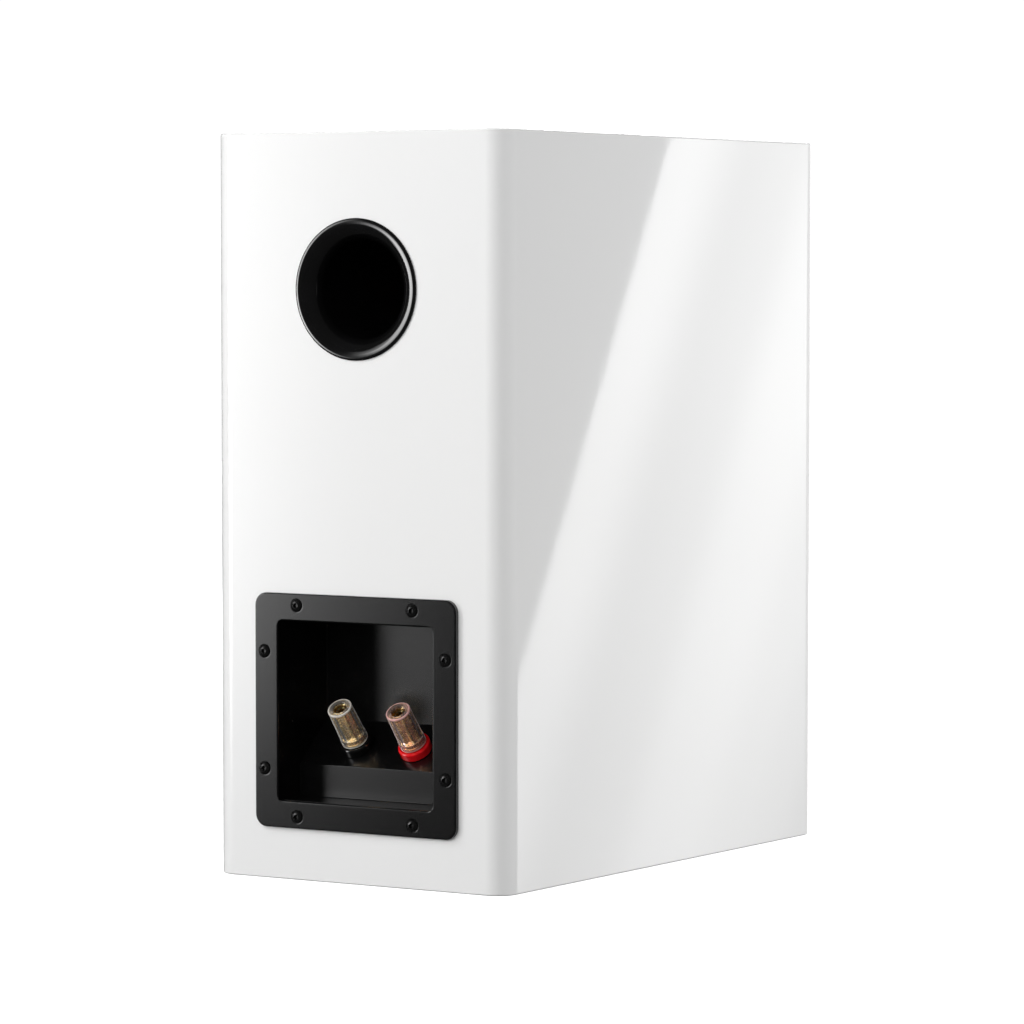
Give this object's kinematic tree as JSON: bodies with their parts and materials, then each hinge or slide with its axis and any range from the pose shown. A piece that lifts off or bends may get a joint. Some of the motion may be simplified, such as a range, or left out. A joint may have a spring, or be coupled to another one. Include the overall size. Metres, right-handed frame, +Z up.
{
  "type": "bookshelf speaker",
  "caption": "Two-way bookshelf speaker: tapered gloss-white cabinet, dome tweeter, cone woofer, round rear port and a recessed terminal plate with screw-down posts.",
  "frame": {"origin": "on the floor, under the middle of the bounding box", "axes": "+Z up, -Y out of the front baffle, +Y out of the back, X across"},
  "size_m": [0.215, 0.3112, 0.38],
  "materials": {
    "lacquer": "white high-gloss lacquer on fibreboard",
    "fibreboard": "raw fibreboard",
    "satin_black": "satin moulded plastic",
    "foam": "closed-cell foam",
    "black_steel": "black oxide",
    "gloss_black": "polished black plastic",
    "gold": "gold plated, polished",
    "clear": "clear moulded plastic, polished",
    "red": "polished red plastic",
    "cast": "black painted casting",
    "rubber": "matte",
    "cone": "satin",
    "copper": "enamelled copper wire",
    "fabric": "resin-dipped cloth",
    "steel": "zinc plated",
    "ferrite": "matte ferrite",
    "silk": "coated soft dome cloth",
    "board": "circuit board",
    "film": "film capacitor wrap",
    "cement": "unglazed ceramic",
    "felt": "felt"
  },
  "bodies": {
    "cabinet": {"front_baffle": "lacquer", "rear_panel": "lacquer", "side_left": "lacquer", "side_right": "lacquer", "top_panel": "lacquer", "bottom_panel": "lacquer", "window_brace": "fibreboard", "terminal_cup": "satin_black", "terminal_gasket": "foam", "terminal_screw_1": "black_steel", "terminal_screw_2": "black_steel", "terminal_screw_3": "black_steel", "terminal_screw_4": "black_steel", "terminal_screw_5": "black_steel", "terminal_screw_6": "black_steel", "terminal_screw_7": "black_steel", "terminal_screw_8": "black_steel", "post_black_collar": "gloss_black", "post_black_stud": "gold", "post_black_backing": "gloss_black", "post_black_rear_nut": "gold", "post_red_collar": "red", "post_red_stud": "gold", "post_red_backing": "gloss_black", "post_red_rear_nut": "gold", "port_tube": "gloss_black", "port_inner_flare": "satin_black", "woofer_basket": "cast", "woofer_gasket": "foam", "woofer_surround": "rubber", "woofer_spider": "fabric", "woofer_top_plate": "steel", "woofer_magnet": "ferrite", "woofer_back_plate": "steel", "tweeter_faceplate": "satin_black", "tweeter_gasket": "foam", "tweeter_surround": "silk", "tweeter_top_plate": "steel", "tweeter_magnet": "ferrite", "tweeter_back_plate": "steel", "tweeter_rear_chamber": "satin_black", "crossover_board": "board", "inductor_bass": "copper", "inductor_treble": "copper", "capacitor_large": "film", "capacitor_small": "film", "resistor": "cement", "damping_pad_left": "felt", "damping_pad_right": "felt"},
    "woofer_cone": {"woofer_cone": "cone", "woofer_dust_cap": "cone", "woofer_coil": "copper"},
    "tweeter_dome": {"tweeter_dome": "silk"},
    "post_black_washer": {"post_black_washer": "gold"},
    "post_black_cap": {"post_black_cap": "clear", "post_black_nut": "gold"},
    "post_red_washer": {"post_red_washer": "gold"},
    "post_red_cap": {"post_red_cap": "clear", "post_red_nut": "gold"}
  },
  "joints": [
    {"name": "woofer_travel", "type": "slide", "parent": "cabinet", "child": "woofer_cone", "axis": [0, -1, 0], "range_m": [-0.006, 0.006], "stiffness_N_per_m": 900, "deforming": ["woofer_surround", "woofer_spider"]},
    {"name": "tweeter_travel", "type": "slide", "parent": "cabinet", "child": "tweeter_dome", "axis": [0, -1, 0], "range_m": [-0.0005, 0.0005], "stiffness_N_per_m": 1500, "deforming": ["tweeter_surround"]},
    {"name": "post_black_lift", "type": "slide", "parent": "cabinet", "child": "post_black_washer", "axis": [0, 0.6428, 0.766], "range_m": [0, 0.00406]},
    {"name": "post_black_turn", "type": "hinge", "parent": "post_black_washer", "child": "post_black_cap", "pos_m": [0.0175, 0.12257, 0.06653], "axis": [0, 0.6428, 0.766], "range_deg": [0, 1170]},
    {"name": "post_red_lift", "type": "slide", "parent": "cabinet", "child": "post_red_washer", "axis": [0, 0.6428, 0.766], "range_m": [0, 0.00406]},
    {"name": "post_red_turn", "type": "hinge", "parent": "post_red_washer", "child": "post_red_cap", "pos_m": [-0.0175, 0.12257, 0.06653], "axis": [0, 0.6428, 0.766], "range_deg": [0, 1170]}
  ],
  "couplings": [
    {"joint": "post_black_turn", "follows": "post_black_lift", "rad_per_m": 5026.5},
    {"joint": "post_red_turn", "follows": "post_red_lift", "rad_per_m": 5026.5}
  ]
}
